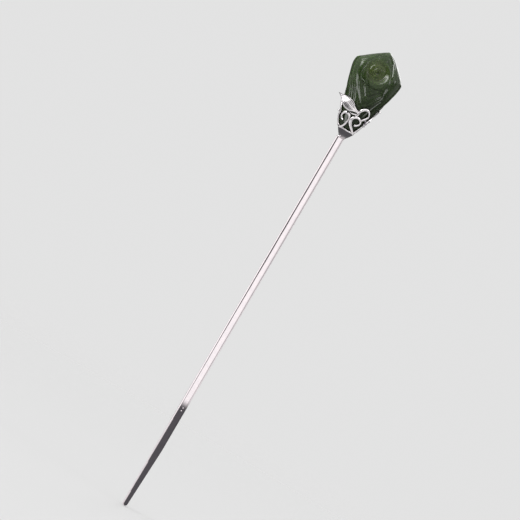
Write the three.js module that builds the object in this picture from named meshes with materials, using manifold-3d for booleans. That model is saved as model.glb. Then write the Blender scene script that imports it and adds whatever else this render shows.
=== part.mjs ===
// Decorative hair pin: a flat silver stem, a calyx cup on its top end, a carved stone bud
// set on a peg in the cup, and an openwork wrap of silver wire, leaves and granules around it.
// Millimetres. +Z runs up the stem towards the bud, and -Y is the side that the rose faces.
// The origin is on the stem's axis at the cup's flat underside.

import * as THREE from 'three';
import { mergeVertices } from 'three/addons/utils/BufferGeometryUtils.js';
import Module from 'manifold-3d';

const wasm = await Module();
wasm.setup();

// Driving dimensions.
const STEM_LENGTH = 130.2;
const STEM_WIDTH = 2.5;
const STEM_DEPTH = 2.0;
const STEM_CHAMFER = 0.5;
const THINNING_LENGTH = 36; // the last stretch of the stem, hammered thinner towards the tip
const POINT_LENGTH = 20; // the last stretch, whose sides close in on the tip
const TIP_WIDTH = 1.6;
const TIP_DEPTH = 0.7;
const TIP_OFFSET = -0.42; // the tip lies this far from the stem's axis

const STONE_BASE = 1.1; // height of the stone's flat base over the origin
const STONE_TOP = 29.8;
const STONE_SIDES = 40; // facets around the stone

const CUP_OFFSET = 0.35; // the cup and the peg stand this far beside the stem's axis
const CUP_FOOT_RADIUS = 1.05;
const CUP_RIM_RADIUS = 2.78;
const CUP_HEIGHT = 2.85;
const CUP_WALL = 0.36;
const CUP_FLOOR = 0.95;

const PEG_RADIUS = 0.6;
const PEG_TOP = 9.2;
const PEG_HOLE_CLEARANCE = 0.04; // in the cup's floor
const STONE_HOLE_RADIUS = 0.72;
const STONE_HOLE_TOP = 9.5;
const CEMENT_THICKNESS = 0.12;

const SEAM = 0.04; // clear space between pieces that are soldered or cemented together
const WIRE_RADIUS = 0.36;
const FINE_WIRE_RADIUS = 0.25;
const WIRE_SIDES = 8;
const LEAF_THICKNESS = 0.36;
const GRANULE_RADIUS = 0.42;

// The stone's form, as [height, distance from the stem's axis].
const STONE_LEFT = [
  [STONE_BASE, 0.65], [2, 1.4], [2.85, 1.95], [3.6, 2.55], [5, 3.3], [8.2, 4.6], [12.3, 5.75],
  [16, 7.0], [20, 8.05], [22.3, 8.38], [23.6, 8.25], [25.5, 6.2], [27.5, 3.65], [29, 1.5],
  [STONE_TOP, 0.25],
];
const STONE_RIGHT = [
  [STONE_BASE, 1.35], [2, 2.1], [2.85, 2.6], [3.6, 3.15], [5, 3.8], [8.2, 4.85], [12.3, 6.05],
  [16, 7.2], [20, 8.1], [22.4, 8.35], [23.6, 7.6], [25.5, 5.95], [27.5, 3.8], [29, 1.9],
  [STONE_TOP, 0.35],
];
const STONE_DEPTH = [
  [STONE_BASE, 1.0], [2, 1.75], [2.85, 2.25], [3.6, 2.7], [5, 3.2], [8.2, 4.05], [12.3, 4.85],
  [16, 5.5], [20, 5.8], [23.6, 5.3], [25.5, 4.4], [27.5, 2.9], [29, 1.4], [STONE_TOP, 0.3],
];
const STONE_LEVELS = [
  STONE_BASE, 2, 3, 4.2, 5.6, 7, 8.5, 10, 11.6, 13.2, 14.8, 16.4, 18, 19.6, 21, 22.1, 22.9, 23.6,
  24.4, 25.4, 26.4, 27.4, 28.2, 28.9, 29.4, 29.7, STONE_TOP,
];

const WIDEST_SHARE = 0.985; // nothing on the stone's front or back passes this share of its half width

// Openwork elements as seen from the rose's side: [across, height] along each wire.
const SCROLL_LEFT = [
  [-3.95, 6.1], [-3.8, 5.2], [-3.35, 4.35], [-2.75, 3.6], [-2.0, 3.35], [-1.3, 3.7],
  [-0.85, 4.45], [-0.68, 5.4], [-0.78, 6.3], [-1.25, 7.0], [-2.0, 7.3], [-2.75, 7.05],
  [-3.1, 6.35], [-2.9, 5.55], [-2.2, 4.95],
];
const SCROLL_CENTER = [
  [2.15, 3.4], [1.4, 3.95], [0.65, 4.65], [0.18, 5.45], [0.2, 6.3], [0.7, 7.05], [1.5, 7.42],
  [2.4, 7.25], [3.0, 6.6], [2.9, 5.85], [2.4, 5.3], [1.75, 5.0],
];
const LOOP = [
  [1.2, 8.3], [1.25, 9.3], [1.85, 10.3], [2.85, 10.85], [3.75, 10.6], [4.2, 9.8], [4.15, 8.95],
  [3.7, 8.25], [3.3, 7.8],
];
const STRUT_LEFT = [[-5.3, 9.6], [-4.85, 8.7], [-4.35, 7.75], [-4.0, 6.95]];
const STRUT_RIGHT = [[2.95, 3.5], [3.35, 4.2], [3.75, 5.1], [4.1, 6.0], [4.2, 6.3]];
const TENDRIL = [[4.75, 8.0], [5.1, 8.9], [5.5, 9.8], [5.85, 10.9], [6.25, 11.95]];
const LEAFLET = [[-1.3, 7.8], [-0.75, 7.72], [-0.1, 7.82], [0.45, 8.02]];
const GRANULE_TIP = [6.45, 12.4];
const GRANULE_MID = [4.45, 7.2];
const GRANULE_SIDE = [-4.75, 6.85];

// Leaves as stations from stalk to tip: [across, height, half width, lift over the stone].
const LEAF_STALK = [
  [0.85, 8.85, 0.34, 0.8], [0.0, 8.98, 0.5, 0.85], [-0.9, 9.1, 0.85, 0.9],
];
const LEAF_FRONT = [
  ...LEAF_STALK,
  [-1.8, 9.3, 1.4, 0.95], [-2.8, 9.68, 1.68, 1.0], [-3.8, 10.1, 1.6, 1.05],
  [-4.8, 10.6, 1.2, 1.15], [-5.7, 10.98, 0.68, 1.45], [-6.5, 11.2, 0.34, 1.9],
  [-7.25, 11.42, 0.09, 2.5],
];
const LEAF_BACK = [
  ...LEAF_STALK,
  [-1.8, 9.3, 1.25, 0.93], [-2.7, 9.6, 1.45, 0.95], [-3.6, 9.95, 1.2, 0.95],
  [-4.4, 10.3, 0.65, 0.95], [-5.0, 10.6, 0.12, 1.0],
];

const silver = () => new THREE.MeshStandardMaterial({ color: 0xd8d6d6, roughness: 0.22, metalness: 1 });
const darkSilver = () => new THREE.MeshStandardMaterial({ color: 0x9a989c, roughness: 0.35, metalness: 1 });
const jade = () => new THREE.MeshStandardMaterial({ color: 0x3f5a3a, roughness: 0.25, metalness: 0 });
const cement = () => new THREE.MeshStandardMaterial({ color: 0xd9d2bf, roughness: 0.6, metalness: 0 });

// A smooth monotone curve through [place, value] knots, without overshoot between them.
function along(knots, place) {
  const last = knots.length - 2;
  let i = 0;
  while (i < last && place > knots[i + 1][0]) i += 1;
  const slope = (k) => (knots[k + 1][1] - knots[k][1]) / (knots[k + 1][0] - knots[k][0]);
  const tangent = (k) => {
    if (k === 0) return slope(0);
    if (k === knots.length - 1) return slope(k - 1);
    const before = slope(k - 1);
    const after = slope(k);
    return before * after <= 0 ? 0 : (2 * before * after) / (before + after);
  };
  const span = knots[i + 1][0] - knots[i][0];
  const t = Math.min(Math.max((place - knots[i][0]) / span, 0), 1);
  const rise = knots[i + 1][1] - knots[i][1];
  const start = tangent(i) * span;
  const end = tangent(i + 1) * span;
  return knots[i][1] + start * t + (3 * rise - 2 * start - end) * t ** 2 + (start + end - 2 * rise) * t ** 3;
}

// The point over the stone at a place seen from the front, on its front (-1) or its back (1).
function overStone(across, height, lift, side) {
  const reach = along(across < 0 ? STONE_LEFT : STONE_RIGHT, height) + lift;
  const depth = along(STONE_DEPTH, height) + lift;
  const share = Math.min(Math.max(across / reach, -WIDEST_SHARE), WIDEST_SHARE);
  return new THREE.Vector3(share * reach, side * depth * Math.sqrt(1 - share ** 2), height);
}

// A closed skin over rings of equal length, each ring ordered anticlockwise seen from its far end.
function loft(rings) {
  const sides = rings[0].length;
  const points = rings.flat();
  const faces = [];
  for (let r = 0; r < rings.length - 1; r += 1) {
    for (let s = 0; s < sides; s += 1) {
      const a = r * sides + s;
      const b = r * sides + ((s + 1) % sides);
      faces.push(a, b, b + sides, a, b + sides, a + sides);
    }
  }
  const centre = (ring) => ring.reduce((sum, p) => sum.add(p), new THREE.Vector3()).divideScalar(sides);
  points.push(centre(rings[0]), centre(rings[rings.length - 1]));
  const low = points.length - 2;
  const top = (rings.length - 1) * sides;
  for (let s = 0; s < sides; s += 1) {
    const next = (s + 1) % sides;
    faces.push(low, next, s, low + 1, top + s, top + next);
  }
  const geometry = new THREE.BufferGeometry().setFromPoints(points);
  geometry.setIndex(faces);
  return geometry;
}

function toSolid(geometry) {
  const plain = geometry.clone();
  plain.deleteAttribute('normal');
  plain.deleteAttribute('uv');
  const merged = mergeVertices(plain, 1e-4);
  return new wasm.Manifold(new wasm.Mesh({
    numProp: 3,
    vertProperties: new Float32Array(merged.attributes.position.array),
    triVerts: new Uint32Array(merged.index.array),
  }));
}

function toGeometry(solid) {
  const mesh = solid.getMesh();
  const geometry = new THREE.BufferGeometry();
  geometry.setAttribute('position', new THREE.BufferAttribute(mesh.vertProperties, 3));
  geometry.setIndex(new THREE.BufferAttribute(mesh.triVerts, 1));
  return geometry;
}

function uprightCylinder(radius, low, high, sides) {
  const geometry = new THREE.CylinderGeometry(radius, radius, high - low, sides);
  geometry.rotateX(Math.PI / 2);
  geometry.translate(0, 0, (low + high) / 2);
  return geometry;
}

// A ring of revolution about Z from [radius, height] points that close on themselves.
function turned(profile, segments) {
  const points = [...profile, profile[0]].map(([radius, height]) => new THREE.Vector2(radius, height));
  const geometry = new THREE.LatheGeometry(points, segments);
  geometry.rotateX(Math.PI / 2);
  return geometry;
}

// The stem: a bar with chamfered corners that thins and then narrows to a blunt tip.
function stemGeometry() {
  const section = (down) => {
    const narrowing = Math.max(0, (down - STEM_LENGTH + POINT_LENGTH) / POINT_LENGTH);
    const thinning = Math.max(0, (down - STEM_LENGTH + THINNING_LENGTH) / THINNING_LENGTH);
    const halfWidth = THREE.MathUtils.lerp(STEM_WIDTH, TIP_WIDTH, narrowing) / 2;
    const halfDepth = THREE.MathUtils.lerp(STEM_DEPTH, TIP_DEPTH, thinning) / 2;
    const cut = STEM_CHAMFER * Math.min(halfWidth / (STEM_WIDTH / 2), halfDepth / (STEM_DEPTH / 2));
    const middle = TIP_OFFSET * narrowing;
    const corners = [
      [halfWidth, halfDepth - cut], [halfWidth - cut, halfDepth],
      [cut - halfWidth, halfDepth], [-halfWidth, halfDepth - cut],
      [-halfWidth, cut - halfDepth], [cut - halfWidth, -halfDepth],
      [halfWidth - cut, -halfDepth], [halfWidth, cut - halfDepth],
    ];
    return corners.map(([x, y]) => new THREE.Vector3(middle + x, y, -down));
  };
  const places = [STEM_LENGTH, STEM_LENGTH - 1.5, STEM_LENGTH - 5, STEM_LENGTH - POINT_LENGTH];
  places.push(STEM_LENGTH - THINNING_LENGTH, STEM_LENGTH / 2, SEAM);
  const rings = places.map(section);
  const tip = rings[0];
  const blunt = tip.map((p) => new THREE.Vector3(TIP_OFFSET + (p.x - TIP_OFFSET) * 0.55, p.y * 0.55, p.z));
  tip.forEach((p) => p.setZ(p.z + 0.35));
  return loft([blunt, ...rings]);
}

function cupGeometry() {
  const hole = PEG_RADIUS + PEG_HOLE_CLEARANCE;
  const profile = [
    [hole, 0], [CUP_FOOT_RADIUS, 0], [1.18, 0.25], [1.56, 0.8], [2.06, 1.5], [2.48, 2.15],
    [CUP_RIM_RADIUS, CUP_HEIGHT - 0.15], [CUP_RIM_RADIUS - 0.07, CUP_HEIGHT],
    [CUP_RIM_RADIUS - CUP_WALL, CUP_HEIGHT], [2.48 - CUP_WALL, 2.15], [2.06 - CUP_WALL, 1.5],
    [1.2, CUP_FLOOR], [hole, CUP_FLOOR],
  ];
  return turned(profile, 36);
}

function cementGeometry() {
  const hole = PEG_RADIUS + PEG_HOLE_CLEARANCE;
  const low = CUP_FLOOR + SEAM / 2;
  const profile = [
    [hole, low], [1.1, low], [2.06 - CUP_WALL - SEAM, 1.52], [2.33 - CUP_WALL - SEAM, 2.0],
    [2.33 - CUP_WALL - SEAM - CEMENT_THICKNESS, 2.0], [2.06 - CUP_WALL - SEAM - CEMENT_THICKNESS, 1.56],
    [1.04, STONE_BASE - SEAM / 2], [hole, STONE_BASE - SEAM / 2],
  ];
  return turned(profile, 32);
}

function stoneGeometry() {
  const rings = STONE_LEVELS.map((height) => {
    const ring = [];
    for (let s = 0; s < STONE_SIDES; s += 1) {
      const angle = (2 * Math.PI * s) / STONE_SIDES;
      const reach = along(Math.cos(angle) < 0 ? STONE_LEFT : STONE_RIGHT, height);
      const depth = along(STONE_DEPTH, height);
      ring.push(new THREE.Vector3(reach * Math.cos(angle), depth * Math.sin(angle), height));
    }
    return ring;
  });
  const stone = toSolid(loft(rings));
  const drill = uprightCylinder(STONE_HOLE_RADIUS, 0, STONE_HOLE_TOP, 16).translate(CUP_OFFSET, 0, 0);
  const hole = toSolid(drill);
  return toGeometry(stone.subtract(hole));
}

// A round wire along a route over the stone.
function wireGeometry(route, radius, side, steps, lift) {
  const plan = new THREE.SplineCurve(route.map(([across, height]) => new THREE.Vector2(across, height)));
  const samples = plan.getSpacedPoints(steps);
  const path = new THREE.CatmullRomCurve3(samples.map((p) => overStone(p.x, p.y, lift, side)));
  const section = new THREE.Shape();
  section.absarc(0, 0, radius, 0, 2 * Math.PI);
  return new THREE.ExtrudeGeometry(section, {
    steps,
    curveSegments: WIRE_SIDES / 2,
    extrudePath: path,
  });
}

// A leaf as a thin lens-shaped loft from stalk to tip.
function leafGeometry(stations, side) {
  const places = stations.map(([across, height, , lift]) => overStone(across, height, lift, side));
  const rings = stations.map(([across, height, half, lift], i) => {
    const ahead = places[Math.min(i + 1, places.length - 1)];
    const behind = places[Math.max(i - 1, 0)];
    const run = ahead.clone().sub(behind).normalize();
    const outward = overStone(across, height, lift + 1, side).sub(overStone(across, height, lift, side));
    outward.addScaledVector(run, -outward.dot(run)).normalize();
    const over = new THREE.Vector3().crossVectors(outward, run);
    const thick = LEAF_THICKNESS * Math.min(1, half * 2 + 0.3);
    const ring = [];
    for (let s = 0; s < 10; s += 1) {
      const angle = (2 * Math.PI * s) / 10;
      const wide = half * Math.cos(angle);
      const hug = -0.12 * (wide * wide);
      ring.push(places[i].clone()
        .addScaledVector(over, wide)
        .addScaledVector(outward, (thick / 2) * Math.sin(angle) + hug));
    }
    return ring;
  });
  return loft(rings);
}

const pin = new THREE.Group();

function add(name, geometry, material) {
  const mesh = new THREE.Mesh(geometry, material);
  mesh.name = name;
  pin.add(mesh);
  return mesh;
}

add('stem', stemGeometry(), silver());
add('calyx_cup', cupGeometry(), silver()).position.x = CUP_OFFSET;
add('bud_peg', uprightCylinder(PEG_RADIUS, SEAM, PEG_TOP, 16), silver()).position.x = CUP_OFFSET;
add('cement_bed', cementGeometry(), cement()).position.x = CUP_OFFSET;
add('jade_bud', stoneGeometry(), jade());

const LIFT_SHARE = 1.15; // a round piece's centre stands this many radii off the stone, which slopes
const ball = new THREE.SphereGeometry(GRANULE_RADIUS, 12, 8);

function addWire(name, route, radius, side, steps) {
  add(name, wireGeometry(route, radius, side, steps, radius * LIFT_SHARE + SEAM), silver());
}

function addGranule(name, [across, height], side) {
  const granule = add(name, ball, darkSilver());
  granule.position.copy(overStone(across, height, GRANULE_RADIUS * LIFT_SHARE + SEAM, side));
}

for (const [face, side] of [['front', -1], ['back', 1]]) {
  addWire(`scroll_left_${face}`, SCROLL_LEFT, WIRE_RADIUS, side, 44);
  addWire(`scroll_center_${face}`, SCROLL_CENTER, WIRE_RADIUS, side, 36);
  addWire(`loop_${face}`, LOOP, WIRE_RADIUS, side, 26);
  addWire(`strut_left_${face}`, STRUT_LEFT, FINE_WIRE_RADIUS, side, 10);
  addWire(`strut_right_${face}`, STRUT_RIGHT, WIRE_RADIUS, side, 10);
  addWire(`leaflet_${face}`, LEAFLET, FINE_WIRE_RADIUS, side, 8);
  addGranule(`granule_mid_${face}`, GRANULE_MID, side);
}
addWire('tendril_front', TENDRIL, FINE_WIRE_RADIUS, -1, 14);
addGranule('granule_tip_front', GRANULE_TIP, -1);
addGranule('granule_side_front', GRANULE_SIDE, -1);
add('leaf_front', leafGeometry(LEAF_FRONT, -1), silver());
add('leaf_back', leafGeometry(LEAF_BACK, 1), silver());

export default pin;
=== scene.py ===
import math

import bpy
import numpy as np
from mathutils import Matrix, Vector


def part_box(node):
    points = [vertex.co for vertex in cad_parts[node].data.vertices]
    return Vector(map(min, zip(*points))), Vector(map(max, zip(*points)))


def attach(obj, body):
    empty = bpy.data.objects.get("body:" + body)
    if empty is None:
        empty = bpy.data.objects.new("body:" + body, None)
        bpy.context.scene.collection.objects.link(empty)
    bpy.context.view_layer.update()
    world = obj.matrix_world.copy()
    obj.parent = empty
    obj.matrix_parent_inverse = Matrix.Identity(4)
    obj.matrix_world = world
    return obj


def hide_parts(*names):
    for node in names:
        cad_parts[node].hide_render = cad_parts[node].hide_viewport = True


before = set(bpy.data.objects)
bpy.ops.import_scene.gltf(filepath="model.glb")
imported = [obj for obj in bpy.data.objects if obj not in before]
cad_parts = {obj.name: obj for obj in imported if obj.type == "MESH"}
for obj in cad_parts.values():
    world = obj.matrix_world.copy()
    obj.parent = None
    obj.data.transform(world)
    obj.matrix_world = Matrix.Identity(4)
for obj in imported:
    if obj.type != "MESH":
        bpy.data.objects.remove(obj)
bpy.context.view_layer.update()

MM = 0.001
FRONT, BACK = -1, 1
FACES = (("front", FRONT), ("back", BACK))

# ---------------------------------------------------------------- driving dimensions, in millimetres
STEM_LOW, STEM_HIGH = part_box("stem")
STONE_LOW, STONE_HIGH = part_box("jade_bud")
CUP_LOW, CUP_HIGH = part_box("calyx_cup")

STEM_LENGTH = -STEM_LOW.z / MM
STEM_WIDTH = (STEM_HIGH.x - STEM_LOW.x) / MM
STEM_DEPTH = (STEM_HIGH.y - STEM_LOW.y) / MM
THINNING_LENGTH = 36
POINT_LENGTH = 20
TIP_WIDTH = 1.6
TIP_DEPTH = 0.7
TIP_OFFSET = -0.42

STONE_BASE = STONE_LOW.z / MM
STONE_TOP = STONE_HIGH.z / MM
CUP_AXIS = (CUP_LOW.x + CUP_HIGH.x) / 2 / MM
CUP_HEIGHT = CUP_HIGH.z / MM
CUP_FOOT_RADIUS = 1.05
CUP_RIM_RADIUS = (CUP_HIGH.x - CUP_LOW.x) / 2 / MM
CUP_WALL = 0.36
CUP_FLOOR = 0.95
PEG_RADIUS = 0.64
STONE_HOLE_RADIUS = 0.72
STONE_HOLE_TOP = 9.5

# The stone's form as [height, distance from the stem's axis], the same as in the CAD.
STONE_LEFT = [
    (STONE_BASE, 0.65), (2, 1.4), (2.85, 1.95), (3.6, 2.55), (5, 3.3), (8.2, 4.6), (12.3, 5.75),
    (16, 7.0), (20, 8.05), (22.3, 8.38), (23.6, 8.25), (25.5, 6.2), (27.5, 3.65), (29, 1.5),
    (STONE_TOP, 0.25),
]
STONE_RIGHT = [
    (STONE_BASE, 1.35), (2, 2.1), (2.85, 2.6), (3.6, 3.15), (5, 3.8), (8.2, 4.85), (12.3, 6.05),
    (16, 7.2), (20, 8.1), (22.4, 8.35), (23.6, 7.6), (25.5, 5.95), (27.5, 3.8), (29, 1.9),
    (STONE_TOP, 0.35),
]
STONE_DEPTH = [
    (STONE_BASE, 1.0), (2, 1.75), (2.85, 2.25), (3.6, 2.7), (5, 3.2), (8.2, 4.05), (12.3, 4.85),
    (16, 5.5), (20, 5.8), (23.6, 5.3), (25.5, 4.4), (27.5, 2.9), (29, 1.4), (STONE_TOP, 0.3),
]


# ---------------------------------------------------------------- geometry helpers
def along(knots, places):
    """A smooth monotone curve through (place, value) knots, without overshoot between them."""
    x, y = np.array(knots, float).T
    places = np.asarray(places, float)
    slope = np.diff(y) / np.diff(x)
    both = slope[:-1] + slope[1:]
    product = slope[:-1] * slope[1:]
    inner = np.where(product <= 0, 0, 2 * product / np.where(both == 0, 1, both))
    tangent = np.concatenate([slope[:1], inner, slope[-1:]])
    i = np.clip(np.searchsorted(x, places) - 1, 0, len(slope) - 1)
    span = x[i + 1] - x[i]
    t = np.clip((places - x[i]) / span, 0, 1)
    rise = y[i + 1] - y[i]
    start = tangent[i] * span
    end = tangent[i + 1] * span
    return y[i] + start * t + (3 * rise - 2 * start - end) * t**2 + (start + end - 2 * rise) * t**3


def smoothstep(low, high, value):
    t = np.clip((value - low) / (high - low), 0, 1)
    return t * t * (3 - 2 * t)


def unit(vectors):
    return vectors / np.maximum(np.linalg.norm(vectors, axis=-1, keepdims=True), 1e-12)


def spline(points, count):
    """count points evenly spaced along a Catmull-Rom curve through the given points."""
    points = np.array(points, float)
    padded = np.vstack([2 * points[0] - points[1], points, 2 * points[-1] - points[-2]])
    dense = []
    for a, b, c, d in zip(padded, padded[1:], padded[2:], padded[3:]):
        t = np.linspace(0, 1, 24, endpoint=False)[:, None]
        dense.append(
            0.5 * (2 * b + (c - a) * t + (2 * a - 5 * b + 4 * c - d) * t**2 + (3 * b - a - 3 * c + d) * t**3)
        )
    dense = np.vstack([*dense, points[-1:]])
    reach = np.concatenate([[0], np.cumsum(np.linalg.norm(np.diff(dense, axis=0), axis=1))])
    even = np.linspace(0, reach[-1], count)
    return np.stack([np.interp(even, reach, dense[:, k]) for k in range(dense.shape[1])], axis=1)


def skin(name, rings):
    """A closed, smooth-shaded mesh object over an array of rings, rings x sides x 3, in millimetres."""
    count, sides = rings.shape[:2]
    r, s = np.meshgrid(np.arange(count - 1), np.arange(sides), indexing="ij")
    here = (r * sides + s).ravel()
    beside = (r * sides + (s + 1) % sides).ravel()
    faces = np.stack([here, beside, beside + sides, here + sides], axis=1).tolist()
    low, high = count * sides, count * sides + 1
    last = (count - 1) * sides
    for side in range(sides):
        after = (side + 1) % sides
        faces.append((low, after, side))
        faces.append((high, last + side, last + after))
    vertices = np.vstack([rings.reshape(-1, 3), rings[0].mean(0), rings[-1].mean(0)])
    return mesh_object(name, vertices, faces)


def mesh_object(name, vertices, faces):
    mesh = bpy.data.meshes.new(name)
    mesh.from_pydata((np.asarray(vertices) * MM).tolist(), [], faces)
    mesh.validate()
    mesh.shade_smooth()
    piece = bpy.data.objects.new(name, mesh)
    bpy.context.scene.collection.objects.link(piece)
    return piece


def set_attribute(piece, name, values):
    """Stores one number per vertex for the piece's material to read."""
    layer = piece.data.attributes.new(name, "FLOAT", "POINT")
    padded = np.zeros(len(piece.data.vertices), np.float32)
    padded[: len(values)] = values
    layer.data.foreach_set("value", padded)


def finished(piece, material, slot, *nodes):
    """Gives a piece its material, rides it on the pin and lets it stand for CAD nodes. The slot is not used.
    """
    piece.data.materials.append(material)
    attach(piece, "root")
    if nodes:
        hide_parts(*nodes)
    return piece


# ---------------------------------------------------------------- the stone's surface
NORMAL_TURN = 1.0  # degrees to either side of a point between which its normal is measured
NORMAL_RISE = 0.02  # and millimetres above and below it
WIDEST_SHARE = 0.985  # how near the stone's outline a piece over it can come


def stone_reach(across, height):
    """The stone's reach from the axis at a height, on the left where across is negative."""
    return np.where(across < 0, along(STONE_LEFT, height), along(STONE_RIGHT, height))


def stone_point(angle, height, lift=0.0):
    """Points on the stone: angle 0 is its right edge, 90 its front, 180 its left edge, in degrees."""
    turn = np.radians(angle)
    side = np.cos(turn)
    reach = stone_reach(side, height) + lift
    depth = along(STONE_DEPTH, height) + lift
    return np.stack([reach * side, -depth * np.sin(turn), height + 0 * side], axis=-1)


def stone_normal(angle, height):
    across = stone_point(angle + NORMAL_TURN, height) - stone_point(angle - NORMAL_TURN, height)
    low = np.clip(height - NORMAL_RISE, STONE_BASE, STONE_TOP)
    high = np.clip(height + NORMAL_RISE, STONE_BASE, STONE_TOP)
    up = stone_point(angle, high) - stone_point(angle, low)
    return unit(np.cross(up, across))


def angle_of(across, height, side):
    """The angle at which the stone's front or back is seen at a distance across from the axis."""
    angle = np.degrees(np.arccos(np.clip(across / stone_reach(across, height), -1, 1)))
    return angle if side == FRONT else 360 - angle


def over_stone(across, height, lift, side):
    """The point over the stone at a place seen from the front, on its front or its back."""
    across, height, lift = (np.asarray(v, float) for v in (across, height, lift))
    reach = stone_reach(across, height) + lift
    depth = along(STONE_DEPTH, height) + lift
    share = np.clip(across / reach, -WIDEST_SHARE, WIDEST_SHARE)
    return np.stack([share * reach, side * depth * np.sqrt(1 - share**2), height], axis=-1)


# ---------------------------------------------------------------- the rose carved in the stone
ROSE = (-0.28, 22.6)  # the rose's centre on the front: across, height

# Carved petal edges. Each is a route over the stone, seen from the front or the back, or given as
# angles on the sides, and the petal beside it lies lower:
# (side, depth of the step, its half width, how far the hollow reaches, which side is low, route).
# Left and right are those of a traveller along the route with the open air overhead. On the front
# a downward route with RIGHT_LOW is low at the viewer's left.
SIDES = 0
LEFT_LOW, RIGHT_LOW = 1, -1
PETAL_EDGES = [
    # the rose's outer ring: down the left, along the bottom, then up the right
    (FRONT, 0.42, 0.20, 0.85, RIGHT_LOW, [(-1.2, 27.6), (-2.7, 26.4), (-3.8, 24.9), (-4.35, 23.0),
                                          (-4.7, 21.2), (-4.5, 19.4), (-3.6, 18.2), (-1.9, 17.6),
                                          (0.3, 17.4), (2.2, 17.6), (3.6, 18.3), (4.5, 19.3)]),
    # the wide petal at the ring's upper right, whose inner wall catches the light
    (FRONT, 0.34, 0.42, 0.80, LEFT_LOW, [(0.2, 26.6), (1.7, 26.2), (3.0, 25.3), (4.0, 24.1),
                                         (4.5, 22.7)]),
    (FRONT, 0.46, 0.17, 0.80, RIGHT_LOW, [(0.9, 29.0), (2.0, 28.0), (3.1, 26.8), (4.0, 25.1),
                                          (4.6, 23.2), (5.0, 21.4), (4.8, 19.8)]),
    # the long left petal, from the left shoulder down to the leaf
    (FRONT, 0.62, 0.36, 1.0, RIGHT_LOW, [(-7.7, 22.2), (-7.5, 20.0), (-6.7, 17.6), (-5.7, 15.6),
                                         (-4.8, 13.8), (-4.0, 12.2), (-3.4, 10.6), (-3.0, 9.4)]),
    # the large lower petal: its left and right edges meet in a V under the rose
    (FRONT, 0.30, 0.52, 1.0, RIGHT_LOW, [(-5.6, 19.4), (-4.7, 17.9), (-3.6, 16.3), (-2.5, 14.7),
                                         (-1.4, 13.2), (-0.3, 11.8), (0.6, 10.4)]),
    (FRONT, 0.34, 0.16, 0.9, LEFT_LOW, [(6.0, 16.6), (5.0, 15.1), (4.0, 13.7), (2.9, 12.3), (1.8, 11.1),
                                        (0.7, 10.3)]),
    # the smaller V-shaped petal right under the ring
    (FRONT, 0.34, 0.46, 0.8, RIGHT_LOW, [(-3.2, 18.4), (-2.3, 17.3), (-1.4, 16.2), (-0.5, 15.0),
                                         (0.35, 13.6)]),
    (FRONT, 0.30, 0.17, 0.8, LEFT_LOW, [(4.2, 18.2), (3.2, 17.0), (2.2, 15.9), (1.2, 14.9), (0.4, 13.8)]),
    # the petal tips behind the rose, at the top left
    (FRONT, 0.26, 0.16, 0.7, RIGHT_LOW, [(-0.3, 28.9), (-1.7, 27.8), (-3.2, 26.3), (-4.9, 24.6),
                                         (-6.4, 23.0)]),
    # back: one broad petal over two that wrap round from the sides
    (BACK, 0.48, 0.24, 1.0, LEFT_LOW, [(-6.7, 24.4), (-6.0, 20.5), (-4.0, 16.6), (-1.6, 13.8), (0.2, 12.3)]),
    (BACK, 0.48, 0.24, 1.0, RIGHT_LOW, [(6.7, 24.2), (6.2, 20.6), (4.4, 16.8), (2.0, 13.9), (0.2, 12.3)]),
    (BACK, 0.40, 0.20, 0.8, RIGHT_LOW, [(-6.7, 24.4), (-4.2, 25.9), (-0.6, 26.9), (3.2, 26.2), (6.7, 24.2)]),
    (BACK, 0.40, 0.22, 0.9, LEFT_LOW, [(-7.0, 18.0), (-5.4, 14.6), (-3.0, 11.4), (-0.4, 9.2)]),
    (BACK, 0.36, 0.22, 0.9, RIGHT_LOW, [(7.0, 17.4), (5.6, 14.2), (3.2, 11.2), (0.4, 9.2)]),
    (BACK, 0.22, 0.18, 0.7, LEFT_LOW, [(-3.6, 23.6), (-2.6, 20.0), (-1.0, 17.2), (0.6, 15.6)]),
    (BACK, 0.22, 0.18, 0.7, RIGHT_LOW, [(3.4, 22.8), (2.4, 19.4), (1.0, 17.0)]),
    # the sides: petals that wrap round from the front to the back
    (SIDES, 0.42, 0.22, 0.9, LEFT_LOW, [(12, 24.6), (0, 21.5), (-10, 18.0), (-24, 14.6), (-44, 11.6)]),
    (SIDES, 0.36, 0.22, 0.9, RIGHT_LOW, [(-34, 22.0), (-20, 18.4), (-6, 15.2), (6, 12.4), (16, 9.8)]),
    (SIDES, 0.42, 0.22, 0.9, RIGHT_LOW, [(172, 25.0), (184, 21.4), (195, 17.8), (208, 14.6), (226, 11.8)]),
    (SIDES, 0.36, 0.22, 0.9, LEFT_LOW, [(214, 22.2), (202, 18.6), (190, 15.0), (180, 12.0), (172, 9.8)]),
]

CARVING_SCALE = 1.2  # every cut is made this much deeper than its own table or constant says
DEEPEST_CUT = -1.4
CARVING_START = (2.6, 4.0)  # the heights between which the carving sets in, above the cup
TOP_FADE = 0.8
HOLLOW_SHARE = 0.25  # how deep the petal dips behind its own edge, as a share of the step
ROUTE_POINTS = 220
POINTS_AT_ONCE = 6000  # points compared with a route together, to save memory
GROWN, FADING = 0.22, 0.80  # the shares of a route at which its step is full and starts to fade
DISH_RADIUS = 5.0
DISH_DEPTH = 0.42
HEART_RADIUS = 2.75  # the rose's closed heart, inside a curved wall
HEART_CROWN = 0.15
HEART_RELIEF = 0.10
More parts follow.
